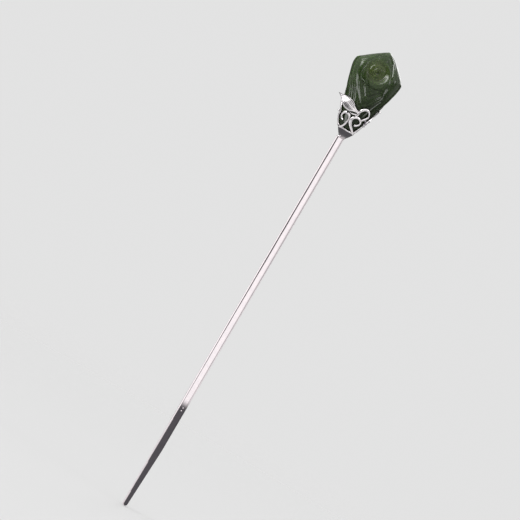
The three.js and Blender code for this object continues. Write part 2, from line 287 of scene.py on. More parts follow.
# Furled petals inside the heart: radius of each edge, and the turns between which it shows.
HEART_RINGS = [(0.55, -1.2, 3.6), (1.25, 1.2, 5.2), (1.95, -2.4, 1.8)]
RING_WIDTH = 0.20
RING_OFFSET = 0.12
WALL_FOOT = HEART_RADIUS + 0.25
WALL_TOP = 4.1
WALL_DEPTH = 0.82
WALL_TURN = math.radians(-24)  # where the wall is highest, from the rose's right
NOTCH_TURN, NOTCH_SPREAD, NOTCH_DEPTH = -2.2, 0.45, 0.22  # a short cut at the heart's lower left
CURL = (5.7, 19.3)  # a petal tip curled outwards, low on the right
CURL_SIZE = (0.75, 1.3)
CURL_RISE = 0.34


def carve_edge(points, normals, side, depth, lip, width, low_side, route):
    """The change of level that one petal edge makes at every point of the stone."""
    route = np.array(route, float)
    angles = route[:, 0] if side == SIDES else angle_of(route[:, 0], route[:, 1], side)
    guide = spline(np.stack([angles, route[:, 1]], axis=1), ROUTE_POINTS)
    line = stone_point(guide[:, 0], guide[:, 1])
    line_normal = stone_normal(guide[:, 0], guide[:, 1])
    run = unit(np.gradient(line, axis=0))
    left = np.cross(line_normal, run)
    level = np.zeros(len(points))
    reach = 3.2 * width + 1.2
    low, high = line.min(0) - reach, line.max(0) + reach
    near = np.nonzero(np.all((points > low) & (points < high), axis=1))[0]
    place = np.linspace(0, 1, ROUTE_POINTS)
    taper = smoothstep(0, GROWN, place) * smoothstep(1, FADING, place)
    for part in np.array_split(near, max(1, len(near) // POINTS_AT_ONCE)):
        gap = np.linalg.norm(points[part][:, None] - line[None], axis=2)
        closest = gap.argmin(1)
        offset = points[part] - line[closest]
        beside = (offset * left[closest]).sum(1)
        across = np.sign(beside) * low_side * gap.min(1)
        step = np.clip((across + lip) / (2 * lip), 0, 1) * np.exp(-np.maximum(across, 0) / width)
        hollow = HOLLOW_SHARE * np.exp(-(((across + width + lip) / (0.5 * width)) ** 2))
        past_end = np.linalg.norm(offset, axis=1) - np.abs(beside)
        fade = smoothstep(0.6, 0.15, past_end)
        same_face = smoothstep(0.1, 0.4, (normals[part] * line_normal[closest]).sum(1))
        level[part] = -depth * (step + hollow) * taper[closest] * same_face * fade
    return level


def carve_rose(points):
    """The dished heart of the rose: tight rings inside a curved wall, highest on the right."""
    across = points[:, 0] - ROSE[0]
    up = points[:, 2] - ROSE[1]
    radius = np.hypot(across, up)
    turn = np.arctan2(up, across)
    on_front = smoothstep(0, 1.0, -points[:, 1])
    dish = -DISH_DEPTH * smoothstep(DISH_RADIUS, 0.5 * DISH_RADIUS, radius)
    grooves = 0
    for ring, start, end in HEART_RINGS:
        off_centre = ring + RING_OFFSET * np.cos(turn - start)
        spread = np.cos(turn - (start + end) / 2) - math.cos((end - start) / 2)
        groove = np.exp(-(((radius - off_centre) / RING_WIDTH) ** 2))
        grooves = grooves + groove * smoothstep(-0.1, 0.5, spread)
    crown = HEART_CROWN * np.clip(1 - (radius / (HEART_RADIUS + 0.1)) ** 2, 0, 1)
    heart = crown - HEART_RELIEF * np.minimum(grooves, 1)
    share = 0.5 + 0.5 * np.cos(turn - WALL_TURN)
    outer = WALL_FOOT + (WALL_TOP - WALL_FOOT) * (0.35 + 0.65 * share)
    bowl = np.clip((outer - radius) / (outer - HEART_RADIUS), 0, 1)
    wall = -WALL_DEPTH * (0.18 + 0.82 * share**1.5) * bowl
    lower_left = np.exp(-(((turn - NOTCH_TURN) / NOTCH_SPREAD) ** 2))
    notch = -NOTCH_DEPTH * lower_left * smoothstep(HEART_RADIUS + 0.7, HEART_RADIUS + 0.35, radius)
    return (dish + heart + wall + notch) * on_front


def carve_curl(points):
    """A small swelling where a petal tip curls outwards."""
    across = (points[:, 0] - CURL[0]) / CURL_SIZE[0]
    up = (points[:, 2] - CURL[1]) / CURL_SIZE[1]
    return CURL_RISE * np.exp(-(across**2) - up**2) * (points[:, 1] < 0)


BUD_SIDES, BUD_LEVELS = 392, 252
CROWDING = 0.28  # how much closer together the points are on the carved front than on the back
EDGE_SMOOTHING = 2
GROOVE_SMOOTHING = 24  # the material paints shade on what lies below the carving smoothed this often
HEART_GLOW = (4.6, 2.4)  # the heart's painted glow, brighter and yellower as if lit through the stone, starts and is full at these distances


def bud_angles():
    """Angles round the stone, closer together on the carved front than on the back."""
    even = np.linspace(0, 2 * math.pi, BUD_SIDES, endpoint=False)
    return np.degrees(even + CROWDING * np.cos(even))


def smooth_level(level, passes):
    """Averages the carving with its neighbours, which rounds off steps narrower than the grid."""
    for _ in range(passes):
        beside = (np.roll(level, 1, axis=1) + np.roll(level, -1, axis=1)) / 2
        above = np.vstack([level[1:], level[-1:]])
        below = np.vstack([level[:1], level[:-1]])
        level = 0.5 * level + 0.25 * beside + 0.125 * (above + below)
    return level


def carved_level(points, normals):
    """How far the carved surface lies below the stone's smooth form, as a grid of negative values."""
    flat, flat_normals = points.reshape(-1, 3), normals.reshape(-1, 3)
    level = carve_rose(flat) + carve_curl(flat)
    for edge in PETAL_EDGES:
        level = level + carve_edge(flat, flat_normals, *edge)
    level = np.clip(CARVING_SCALE * level, DEEPEST_CUT, 0)
    height = flat[:, 2]
    fade = smoothstep(*CARVING_START, height) * smoothstep(STONE_TOP, STONE_TOP - TOP_FADE, height)
    return smooth_level((level * fade).reshape(points.shape[:2]), EDGE_SMOOTHING)


def hole_rings(angle):
    """The mouth and the roof of the hole for the peg, in the stone's underside."""
    turn = np.radians(angle)
    across = CUP_AXIS + STONE_HOLE_RADIUS * np.cos(turn)
    out = -STONE_HOLE_RADIUS * np.sin(turn)
    mouth = np.stack([across, out, np.full(len(turn), STONE_BASE)], axis=1)
    return mouth, mouth + np.array([0, 0, STONE_HOLE_TOP - STONE_BASE])


def make_bud(material):
    angle = bud_angles()
    height = np.linspace(STONE_BASE, STONE_TOP, BUD_LEVELS)
    height_grid, angle_grid = np.meshgrid(height, angle, indexing="ij")
    points = stone_point(angle_grid, height_grid)
    normals = stone_normal(angle_grid, height_grid)
    level = carved_level(points, normals)
    carved = points + normals * level[..., None]
    mouth, roof = hole_rings(angle)
    rings = np.concatenate([roof[None], mouth[None], carved])[:, ::-1]
    bud = skin("carved_rose_bud", rings)
    # Where the heart gets its painted glow, as if light shone through the stone.
    from_rose = np.hypot(points[..., 0] - ROSE[0], points[..., 2] - ROSE[1])
    heart = smoothstep(*HEART_GLOW, from_rose) * (points[..., 1] < 0)
    # Painted shade: how far each point lies below the smoothed carving, deepest in narrow grooves.
    groove = level - smooth_level(level, GROOVE_SMOOTHING)
    in_hole = np.zeros(2 * BUD_SIDES)
    for name, values in (("groove", groove), ("heart", heart)):
        set_attribute(bud, name, np.concatenate([in_hole, values[:, ::-1].ravel()]))
    return finished(bud, material, "green_jade", "jade_bud")


# ---------------------------------------------------------------- silver wire, leaves and granules
FLATNESS = 0.82  # a wire's height off the stone as a share of its width
SEAM = 0.04
WIRE_GAP = SEAM + 0.06
WIRE_PATINA_AND_SHADE = (0.55, -0.25)  # facing outwards by this much it is clean, and by this much dark: patina on the side against the stone, painted shade along the flanks
GRANULE_PATINA = (0.4, -0.8)
WIRE_SIDES = 20
DOME_ANGLES = np.radians([12, 30, 50, 68, 82])
DOME_HEIGHT = 0.8  # as a share of the wire's half width
LINK_POINTS = 48

# Wire elements as seen from the rose's side: name, route, [(share of length, half width)].
# A route's points are (across, height, extra lift off the stone).
SCROLL_LEFT = [
    (-3.9, 6.7, 0.05), (-3.95, 6.1, 0), (-3.8, 5.2, 0), (-3.35, 4.3, 0), (-2.8, 3.45, 0), (-2.35, 2.95, 0.12),
    (-1.95, 2.72, 0.25), (-1.45, 2.95, 0.2), (-1.05, 3.6, 0), (-0.78, 4.45, 0), (-0.64, 5.4, 0),
    (-0.72, 6.3, 0), (-1.2, 7.02, 0), (-2.0, 7.32, 0), (-2.75, 7.08, 0), (-3.12, 6.35, 0),
    (-2.92, 5.55, 0), (-2.45, 5.05, 0.05), (-2.05, 4.85, 0.1),
]
SCROLL_CENTER = [
    (2.75, 2.62, 0.2), (2.35, 2.95, 0.15), (1.8, 3.45, 0), (1.2, 4.0, 0), (0.6, 4.65, 0), (0.16, 5.45, 0),
    (0.16, 6.3, 0), (0.66, 7.05, 0), (1.5, 7.45, 0), (2.4, 7.3, 0), (3.02, 6.65, 0), (2.95, 5.9, 0),
    (2.45, 5.3, 0.05), (1.75, 4.95, 0.1),
]
LOOP = [
    (0.95, 7.75, 0.1), (1.12, 8.4, 0.05), (1.25, 9.35, 0), (1.85, 10.3, 0), (2.85, 10.85, 0), (3.75, 10.6, 0),
    (4.2, 9.8, 0), (4.15, 8.95, 0), (3.75, 8.25, 0), (3.3, 7.75, 0.05), (2.95, 7.3, 0.15),
]
STRUT_LEFT = [
    (-5.6, 10.2, 0.1), (-5.3, 9.6, 0), (-4.85, 8.7, 0), (-4.35, 7.75, 0), (-4.0, 6.95, 0), (-3.9, 6.3, 0),
]
STRUT_RIGHT = [
    (2.6, 2.75, 0.25), (2.95, 3.4, 0.05), (3.35, 4.2, 0), (3.75, 5.1, 0), (4.1, 6.0, 0), (4.35, 6.8, 0),
]
TENDRIL = [
    (4.45, 7.3, 0), (4.75, 8.0, 0), (5.1, 8.9, 0), (5.5, 9.8, 0), (5.85, 10.9, 0), (6.2, 11.9, 0.05),
    (6.4, 12.35, 0.1),
]
LEAFLET = [(-1.45, 7.9, 0.1), (-0.75, 7.76, 0.1), (-0.1, 7.84, 0.1), (0.5, 7.98, 0.1), (1.1, 7.95, 0.1)]
WIRES = [
    ("scroll_left", SCROLL_LEFT, [(0, 0.24), (0.12, 0.33), (0.3, 0.34), (0.45, 0.30), (0.62, 0.26),
                                  (0.8, 0.46), (0.9, 0.34), (1, 0.27)]),
    ("scroll_center", SCROLL_CENTER, [(0, 0.34), (0.2, 0.38), (0.42, 0.52), (0.55, 0.42), (0.7, 0.34),
                                      (0.88, 0.30), (1, 0.33)]),
    ("loop", LOOP, [(0, 0.36), (0.25, 0.42), (0.45, 0.38), (0.65, 0.27), (0.85, 0.38), (1, 0.30)]),
    ("strut_left", STRUT_LEFT, [(0, 0.22), (0.5, 0.30), (1, 0.28)]),
    ("strut_right", STRUT_RIGHT, [(0, 0.34), (0.3, 0.37), (0.7, 0.28), (1, 0.24)]),
    ("leaflet", LEAFLET, [(0, 0.10), (0.3, 0.26), (0.7, 0.24), (1, 0.26)]),
]
TENDRIL_WIDTHS = [(0, 0.36), (0.3, 0.30), (0.6, 0.24), (1, 0.23)]

# Short links that join the front's openwork to the back's, as (angle, height) round each side.
LINKS = [
    ("silver_link_left_high", [(166, 9.7), (172, 10.35), (180, 10.7), (188, 10.35), (194, 9.7)], 0.27),
    ("silver_link_left_low", [(161, 6.5), (168, 6.15), (180, 5.9), (192, 6.15), (199, 6.5)], 0.27),
    ("silver_link_right_high", [(24, 7.5), (13, 8.2), (0, 8.5), (-13, 8.2), (-24, 7.5)], 0.27),
    ("silver_link_right_low", [(26, 7.1), (14, 6.55), (0, 6.35), (-14, 6.55), (-26, 7.1)], 0.24),
]


def dome(centre, direction, spokes, radius):
    """Rings that round off a wire's end, outwards from its last full ring."""
    rise = DOME_HEIGHT * radius * direction
    return [centre + rise * math.sin(a) + spokes * radius * math.cos(a) for a in DOME_ANGLES]


def tube(name, line, radii):
    """A slightly flattened wire with domed ends along a line of points."""
    run = unit(np.gradient(line, axis=0))
    outward = unit(line * np.array([1, 1, 0]) + 1e-9)
    outward = unit(outward - (outward * run).sum(1, keepdims=True) * run)
    beside = np.cross(run, outward)
    turn = np.linspace(0, 2 * math.pi, WIRE_SIDES, endpoint=False)
    high = FLATNESS * np.cos(turn)[None, :, None] * outward[:, None]
    spokes = high + np.sin(turn)[None, :, None] * beside[:, None]
    rings = line[:, None] + spokes * radii[:, None, None]
    start = dome(line[0], -run[0], spokes[0], radii[0])
    end = dome(line[-1], run[-1], spokes[-1], radii[-1])
    rings = np.concatenate([start[::-1], rings, end])
    piece = skin(name, rings)
    # Patina on the side against the stone, and painted shade along the wire's flanks.
    facing = np.tile(np.cos(turn), len(rings))
    set_attribute(piece, "patina_and_shade", smoothstep(*WIRE_PATINA_AND_SHADE, facing))
    return piece


def wire_widths(widths, count, seed):
    """Half widths along a wire, with the slight unevenness of hand work."""
    place = np.linspace(0, 1, count)
    uneven = 1 + 0.02 * np.sin(place * 31 + seed) + 0.012 * np.sin(place * 13.3 + 2 * seed)
    return along(widths, place) * uneven


def make_wire(name, route, widths, side, material, node):
    count = 16 * len(route)
    plan = spline(route, count)
    radii = wire_widths(widths, count, len(route))
    lift = FLATNESS * radii + WIRE_GAP + plan[:, 2]
    line = over_stone(plan[:, 0], plan[:, 1], lift, side)
    line = spline(line[::4], count)
    return finished(tube(name, line, radii), material, "polished_silver", node)


def make_wires(material):
    for face, side in FACES:
        for name, route, widths in WIRES:
            make_wire(f"silver_{name}_{face}", route, widths, side, material, f"{name}_{face}")
    make_wire("silver_tendril", TENDRIL, TENDRIL_WIDTHS, FRONT, material, "tendril_front")
    for name, route, thin in LINKS:
        plan = spline(route, LINK_POINTS)
        line = stone_point(plan[:, 0], plan[:, 1], FLATNESS * thin + WIRE_GAP)
        radii = wire_widths([(0, thin), (0.5, thin * 1.15), (1, thin)], LINK_POINTS, len(name))
        finished(tube(name, line, radii), material, "polished_silver")


BALL_SIDES, BALL_RINGS = 28, 17


def ball_rings(centre, radius):
    """Rings of a very slightly uneven ball."""
    around = np.linspace(0, 2 * math.pi, BALL_SIDES, endpoint=False)
    turn, tilt = np.meshgrid(around, np.radians(np.linspace(-84, 84, BALL_RINGS)))
    rings = np.stack([np.cos(tilt) * np.cos(turn), np.cos(tilt) * np.sin(turn), np.sin(tilt)], axis=2)
    bumps = 1 + 0.02 * np.sin(3 * turn + 2 * tilt) * np.cos(tilt)
    return centre + radius * rings * bumps[:, :, None]


def outward_share(piece, centre):
    """How far each vertex faces away from the stone's axis, from -1 to 1."""
    points = np.array([tuple(v.co) for v in piece.data.vertices]) / MM - centre
    outward = unit(centre * np.array([1, 1, 0]))
    return (unit(points) * outward).sum(1)


def make_granule(name, place, side, material, slot, *nodes):
    """A ball on the stone at a place given as across, height and radius."""
    across, height, radius = place
    centre = over_stone(across, height, radius * 0.95 + SEAM, side)
    granule = skin(name, ball_rings(centre, radius))
    set_attribute(granule, "patina_and_shade", smoothstep(*GRANULE_PATINA, outward_share(granule, centre)))
    return finished(granule, material, slot, *nodes)


GRANULE_TIP = (6.45, 12.45, 0.46)
GRANULE_LEFT = (-4.72, 6.9, 0.42)
GRANULE_MID = (4.5, 7.35, 0.50)
CLUSTER = [(4.75, 8.05, 0.30), (4.1, 6.85, 0.28), (4.0, 7.75, 0.27)]  # round the dark middle one


def make_granules(bright, dark):
    make_granule("granule_on_tendril", GRANULE_TIP, FRONT, bright, "polished_silver", "granule_tip_front")
    make_granule("granule_at_left", GRANULE_LEFT, FRONT, bright, "polished_silver", "granule_side_front")
    for face, side in FACES:
        middle = f"granule_mid_{face}"
        make_granule(f"{middle}_dark", GRANULE_MID, side, dark, "oxidised_silver", middle)
        for index, place in enumerate(CLUSTER, start=1):
            make_granule(f"granule_cluster_{face}_{index}", place, side, dark, "oxidised_silver")

# Leaves as stations from stalk to tip: (across, height, half width, lift).
LEAF_STALK = [
    (1.05, 8.75, 0.36, 0.72), (0.85, 8.85, 0.36, 0.8), (0.0, 8.98, 0.5, 0.88), (-0.9, 9.1, 0.85, 0.92),
]
LEAF_FRONT = LEAF_STALK + [
    (-1.8, 9.3, 1.4, 0.98), (-2.8, 9.68, 1.68, 1.05), (-3.8, 10.1, 1.6, 1.1),
    (-4.8, 10.6, 1.2, 1.18), (-5.7, 10.98, 0.68, 1.45), (-6.5, 11.2, 0.34, 1.9),
    (-7.25, 11.42, 0.09, 2.5),
]
LEAF_BACK = LEAF_STALK + [
    (-1.8, 9.3, 1.25, 0.95), (-2.7, 9.6, 1.45, 0.98), (-3.6, 9.95, 1.2, 0.98),
    (-4.4, 10.3, 0.65, 0.98), (-5.0, 10.6, 0.12, 1.0),
]
LEAF_POINTS, LEAF_WIDTH_POINTS = 120, 57
LEAF_THICKNESS = 0.30
STALK_SHARE = 0.22  # the ribbed stalk's share of the leaf's length
VEINS = 7
MIDRIB_RISE, VEIN_RISE, RIM_RISE, RIB_RISE = 0.09, 0.05, 0.10, 0.13


def leaf_relief(share, place):
    """The leaf's raised lines, and how much of each point belongs to the blade, not to the stalk."""
    blade = smoothstep(STALK_SHARE - 0.08, STALK_SHARE + 0.12, place)
    midrib = np.exp(-((share / 0.09) ** 2))
    fan = 0.5 + 0.5 * np.cos(math.pi * VEINS * share + 0.5 * np.sin(9 * place))
    veins = fan**2 * smoothstep(0.95, 0.45, place)
    rim = np.exp(-(((np.abs(share) - 0.90) / 0.08) ** 2))
    lines = MIDRIB_RISE * midrib + VEIN_RISE * veins + RIM_RISE * rim
    ribs = RIB_RISE * np.abs(np.cos(2 * math.pi * share))
    return blade * smoothstep(1.0, 0.8, place) * lines + (1 - blade) * ribs, blade


def make_leaf(name, stations, side, material, node):
    """A leaf with veins that fan out from a ribbed stalk, a raised midrib and a rolled rim."""
    plan = spline(stations, LEAF_POINTS)
    centre = over_stone(plan[:, 0], plan[:, 1], plan[:, 3], side)
    beyond = over_stone(plan[:, 0], plan[:, 1], plan[:, 3] + 1, side)
    run = unit(np.gradient(centre, axis=0))
    outward = beyond - centre
    outward = unit(outward - (outward * run).sum(1, keepdims=True) * run)
    over = np.cross(outward, run)
    share = np.linspace(-1, 1, LEAF_WIDTH_POINTS)[None, :]
    half = np.maximum(plan[:, 2], 0.05)[:, None]
    relief, blade = leaf_relief(share, np.linspace(0, 1, LEAF_POINTS)[:, None])
    cupping = -0.13 * (half * share) ** 2 + 0.22 * blade * np.abs(share) ** 4 + 0.10 * blade * share
    edge = np.sqrt(np.clip(1 - share**2, 0, 1)) ** 0.5
    thick = LEAF_THICKNESS * np.clip(half * 2, 0.4, 1)
    top_height = cupping + thick * 0.5 * edge + relief * edge
    low_height = cupping - thick * 0.5 * edge
    middle = centre[:, None] + over[:, None] * (half * share)[..., None]
    top = middle + outward[:, None] * top_height[..., None]
    low = middle + outward[:, None] * low_height[..., None]
    rings = np.concatenate([top, low[:, -2:0:-1]], axis=1)
    # Patina in the hollows between the raised lines and underneath; the extra darkening towards one side of
    # the blade is painted shade.
    dark = 0.55 - relief * 9 + 0.25 * smoothstep(0.2, 0.9, share) * blade
    dark = np.concatenate([dark, np.ones((LEAF_POINTS, LEAF_WIDTH_POINTS - 2))], axis=1)
    if side == FRONT:
        rings = rings[:, ::-1]
        dark = dark[:, ::-1]
    leaf = skin(name, rings)
    set_attribute(leaf, "patina_and_shade", np.clip(dark.ravel(), 0, 1))
    return finished(leaf, material, "polished_silver", node)


# ---------------------------------------------------------------- cup and stem
CUP_SIDES = 144


def lathe(name, profile, wave):
    """A turned ring about the cup's axis from a profile that closes on itself."""
    turn = np.linspace(0, 2 * math.pi, CUP_SIDES, endpoint=False)
    radius = profile[:, 0][:, None]
    height = profile[:, 1][:, None] + wave(profile[:, 1][:, None], turn[None])
    rings = np.stack([CUP_AXIS + radius * np.cos(turn), radius * np.sin(turn), height], axis=2)
    r, s = np.meshgrid(np.arange(len(profile)), np.arange(CUP_SIDES), indexing="ij")
    here, after = r * CUP_SIDES, (r + 1) % len(profile) * CUP_SIDES
    beside = (s + 1) % CUP_SIDES
    quads = np.stack([here + s, here + beside, after + beside, after + s], axis=-1)
    return mesh_object(name, rings.reshape(-1, 3), quads.reshape(-1, 4).tolist())


def cup_scallop(height, turn):
    """The rim dips softly between the places where wires rise from it."""
    return 0.13 * (np.abs(np.sin(2.5 * turn + 0.3)) - 1) * smoothstep(1.5, CUP_HEIGHT, height)


def make_cup(material):
    """The calyx cup, with a beaded, softly scalloped rim."""
    rim = CUP_RIM_RADIUS
    outside = [
        (PEG_RADIUS, 0.0), (CUP_FOOT_RADIUS - 0.06, 0.0), (CUP_FOOT_RADIUS, 0.05), (1.12, 0.2), (1.32, 0.5),
        (1.56, 0.8), (1.82, 1.15), (2.06, 1.5), (2.28, 1.82), (2.46, 2.1), (2.58, 2.32), (2.63, 2.44),
        (2.66, 2.5), (rim - 0.04, 2.56), (rim, CUP_HEIGHT - 0.2), (rim, CUP_HEIGHT - 0.1),
        (rim - 0.06, CUP_HEIGHT - 0.02), (rim - 0.16, CUP_HEIGHT),
    ]
    inside = [
        (rim - CUP_WALL + 0.08, CUP_HEIGHT - 0.02), (rim - CUP_WALL, CUP_HEIGHT - 0.1),
        (2.48 - CUP_WALL, 2.15), (2.06 - CUP_WALL, 1.5), (1.2, CUP_FLOOR), (PEG_RADIUS, CUP_FLOOR),
    ]
    profile = np.array(outside + inside)
    cup = lathe("silver_cup", profile, cup_scallop)
    height = np.array([h for _, h in outside])
    # The body darkens below the bright rim and less towards the foot, the inside fully: in part tarnish, in
    # part painted shade.
    shade = smoothstep(2.58, 2.35, height) * smoothstep(-0.8, 1.0, height)
    patina_and_shade = np.concatenate([shade, np.ones(len(inside))])
    set_attribute(cup, "patina_and_shade", np.repeat(patina_and_shade, CUP_SIDES))
    return finished(cup, material, "polished_silver", "calyx_cup")


NECK_LOW, NECK_HIGH = -0.35, 0.36
NECK_RADIUS = 1.24
NECK_RINGS = 16


def make_neck(material):
    """The solder that runs from the stem's square end up on to the cup's foot."""
    x, y, _ = stem_section(0, STEM_WIDTH / 2, STEM_DEPTH / 2)
    square = np.column_stack([x, y])
    angle = np.arctan2(y, x)
    circle = np.column_stack([CUP_AXIS + np.cos(angle) * NECK_RADIUS, np.sin(angle) * NECK_RADIUS])
    shares = np.linspace(0, 1, NECK_RINGS)
    rings = []
    for share in shares:
        blend = smoothstep(0.25, 1, share)
        swell = 0.995 + 0.035 * smoothstep(0, 0.3, share) * smoothstep(1, 0.5, share)
        outline = ((1 - blend) * square + blend * circle) * swell
        height = NECK_LOW + (NECK_HIGH - NECK_LOW) * share
        rings.append(np.column_stack([outline, np.full(len(outline), height)]))
    neck = skin("silver_neck", np.array(rings))
    set_attribute(neck, "patina_and_shade", np.repeat(0.15 + 0.5 * shares, len(x)))
    return finished(neck, material, "polished_silver")


# The worn bevel on each long edge at distances below the cup: (distance, width across the face,
# turn from the face where it starts and ends, in degrees).
BEVEL = [
    (0, 0.74, 8, 50), (42, 0.74, 8, 50), (66, 0.56, 16, 56), (94, 0.50, 27, 64),
    (STEM_LENGTH, 0.50, 27, 64),
]
BEVEL_STEPS = 10
FACE_PLACES = np.linspace(-1, 1, 13)[1:-1]  # points across a broad face, between the bevels
BLUNT_LENGTH = 0.6
CROWN = 0.012  # the faces are very slightly domed
DARK_REFLECTION_START = 94.2  # a painted dark reflection covers the drawn-down end of the stem from here
DARK_REFLECTION_BLEND = 1.5
BRIGHT_EDGE = 0.45  # the width along the stem's left edge that the painted dark reflection leaves out, so it is bright all the way down
STEM_RINGS, TIP_RINGS = 400, 60


def bevel_shares(down):
    """The bevel's width and depth in millimetres, and its points as shares of both."""
    table = np.array(BEVEL, float)
    width, start, end = (np.interp(down, table[:, 0], table[:, k]) for k in (1, 2, 3))
    arc = np.radians(np.linspace(start, end, BEVEL_STEPS))
    wide = (np.sin(arc) - np.sin(arc[0])) / (np.sin(arc[-1]) - np.sin(arc[0]))
    deep = (np.cos(arc[0]) - np.cos(arc)) / (np.cos(arc[0]) - np.cos(arc[-1]))
    depth = width * (math.cos(arc[0]) - math.cos(arc[-1])) / (math.sin(arc[-1]) - math.sin(arc[0]))
    return width, depth, 1 - wide, deep


def stem_section(down, half_width, half_depth):
    """One ring of the stem: its points across and out, and which of them lie on the broad faces."""
    width, depth, inset, drop = bevel_shares(down)
    scale = min(half_width / (STEM_WIDTH / 2), half_depth / (STEM_DEPTH / 2))
    bevel_x = half_width - inset * width * scale
    bevel_y = half_depth - CROWN - drop * depth * scale
    flat_x = FACE_PLACES * (half_width - width * scale)
    flat_y = half_depth - CROWN * FACE_PLACES**2
    x = np.concatenate([bevel_x[::-1], flat_x[::-1], -bevel_x, -bevel_x[::-1], flat_x, bevel_x])
    y = np.concatenate([bevel_y[::-1], flat_y, bevel_y, -bevel_y[::-1], -flat_y, -bevel_y])
    return x, y, np.abs(y) > half_depth - CROWN * 1.5


def toward_tip(down, length):
    """A share that grows from 0 to 1 over the last length of the stem."""
    return np.clip((down - STEM_LENGTH + length) / length, 0, 1)


def make_stem(material):
    """The flat stem with worn bevels, a slightly uneven hand-finished face and a drawn-down tip."""
    upper = np.linspace(SEAM, STEM_LENGTH - 4, STEM_RINGS)
    down = np.concatenate([upper, np.linspace(STEM_LENGTH - 3.9, STEM_LENGTH, TIP_RINGS)])
    narrowing = toward_tip(down, POINT_LENGTH)
    thinning = toward_tip(down, THINNING_LENGTH)
    blunt = np.sqrt(np.clip(1 - toward_tip(down, BLUNT_LENGTH) ** 2, 0.12, 1))
    half_width = (STEM_WIDTH + (TIP_WIDTH - STEM_WIDTH) * narrowing) / 2 * blunt
    half_depth = (STEM_DEPTH + (TIP_DEPTH - STEM_DEPTH) * thinning) / 2 * blunt
    hand = 0.006 + 0.003 * np.sin(down * 0.52 + 1.1) + 0.002 * np.sin(down * 0.93)
    rings, dark = [], []
    for d, w, h, uneven, shift in zip(down, half_width, half_depth, hand, narrowing):
        x, y, on_face = stem_section(d, w, h)
        y = y - np.sign(y) * uneven * on_face
        rings.append(np.column_stack([x + TIP_OFFSET * shift, y, np.full(len(x), -d)]))
        # Painted dark reflection over the drawn-down end, except for a strip along the left edge.
        dark_reflection = smoothstep(DARK_REFLECTION_START - DARK_REFLECTION_BLEND, DARK_REFLECTION_START + DARK_REFLECTION_BLEND, d)
        dark.append(dark_reflection * (x > BRIGHT_EDGE - w))
    stem = skin("silver_stem", np.array(rings)[::-1])
    set_attribute(stem, "patina_and_shade", np.array(dark)[::-1].ravel())
    return finished(stem, material, "polished_silver", "stem")


MARKS = (34.7, 33.7)  # two small raised dots, this far from the tip
MARK_ACROSS = 0.18
MARK_SIDES = 24
# A dot's rings as (radius, rise above the face).
MARK_PROFILE = [(0.19, -0.06), (0.18, 0.0), (0.15, 0.035), (0.10, 0.055), (0.04, 0.063)]


def make_mark(name, down, material):
    """A small bright dot that stands slightly proud of the stem's face."""
    turn = np.linspace(0, 2 * math.pi, MARK_SIDES, endpoint=False)
    face = 0.008 - (STEM_DEPTH + (TIP_DEPTH - STEM_DEPTH) * toward_tip(down, THINNING_LENGTH)) / 2
    rings = []
    for radius, rise in MARK_PROFILE:
        across = MARK_ACROSS + radius * np.cos(turn)
        height = radius * np.sin(turn) - down
        rings.append(np.column_stack([across, np.full(MARK_SIDES, face - rise), height]))
    mark = skin(name, np.array(rings))
    set_attribute(mark, "patina_and_shade", np.zeros(MARK_SIDES * len(MARK_PROFILE)))
    return finished(mark, material, "polished_silver")


# ---------------------------------------------------------------- materials
def grey(level):
    return (level, level, level)


def feed(tree, node, inputs):
    """Links outputs to a node's inputs, or sets the inputs to numbers, vectors or colours."""
    for key, value in inputs.items():
        socket = node.inputs[key]
        if isinstance(value, bpy.types.NodeSocket):
            tree.links.new(value, socket)
        else:
            socket.default_value = (*value, 1) if socket.type == "RGBA" else value


def new_node(tree, kind, inputs):
    node = tree.nodes.new("ShaderNode" + kind)
    feed(tree, node, inputs)
    return node


def new_material(name):
    material = bpy.data.materials.new(name)
    material.use_nodes = True
    tree = material.node_tree
    return material, tree, tree.nodes["Principled BSDF"]


def attribute(tree, name):
    node = new_node(tree, "Attribute", {})
    node.attribute_name = name
    return node.outputs["Fac"]


def coordinates(tree, kind):
    return new_node(tree, "TexCoord", {}).outputs[kind]


def axes(tree, vector):
    return new_node(tree, "SeparateXYZ", {"Vector": vector}).outputs


def noise(tree, scale, detail, stretch=(1, 1, 1)):
    """Noise in object space, its scale in features per metre."""
    place = new_node(tree, "Mapping", {"Vector": coordinates(tree, "Object"), "Scale": stretch})
    inputs = {"Vector": place.outputs["Vector"], "Scale": scale, "Detail": detail}
    return new_node(tree, "TexNoise", inputs).outputs["Fac"]


def calculated(tree, operation, *values):
    node = new_node(tree, "Math", dict(enumerate(values)))
    node.operation = operation
    return node.outputs[0]


def fitted(tree, value, start, end):
    """A value moved from the range start[0] to end[0] to the range start[1] to end[1]."""
    inputs = {"Value": value, "From Min": start[0], "To Min": start[1], "From Max": end[0], "To Max": end[1]}
    return new_node(tree, "MapRange", inputs).outputs["Result"]


def ramp(tree, value, stops):
    """The colour of a value between stops, each given as (place, colour)."""
    node = new_node(tree, "ValToRGB", {"Fac": value})
    elements = node.color_ramp.elements
    while len(elements) < len(stops):
        elements.new(0.5)
    for element, (place, colour) in zip(elements, stops):
        element.position = place
        element.color = (*colour, 1)
    return node.outputs["Color"]


def grey_ramp(tree, value, low, high, stops):
    """The grey of a value between stops that are given over the range low to high."""
    placed = [((place - low) / (high - low), grey(level)) for place, level in stops]
    return ramp(tree, fitted(tree, value, (low, 0), (high, 1)), placed)


def mixed(tree, factor, a, b, blend="MIX"):
    node = new_node(tree, "Mix", {})
    node.data_type = "RGBA"
    node.blend_type = blend
    feed(tree, node, {0: factor, 6: a, 7: b})
    return node.outputs[2]


def set_surface(tree, output, factor, a, b):
    """Shows shader a where the factor is 0 and shader b where it is 1."""
    blend = new_node(tree, "MixShader", {0: factor, 1: a.outputs[0], 2: b.outputs[0]})
    feed(tree, tree.nodes[output], {"Surface": blend.outputs["Shader"]})


def bumped(tree, height, strength, distance):
    inputs = {"Height": height, "Strength": strength, "Distance": distance}
    return new_node(tree, "Bump", inputs).outputs["Normal"]


CLOUD_TINT = [(0.35, (0.93, 0.925, 0.93)), (0.65, (1.0, 0.985, 0.98))]
PATINA_ROUGHNESS = 0.22


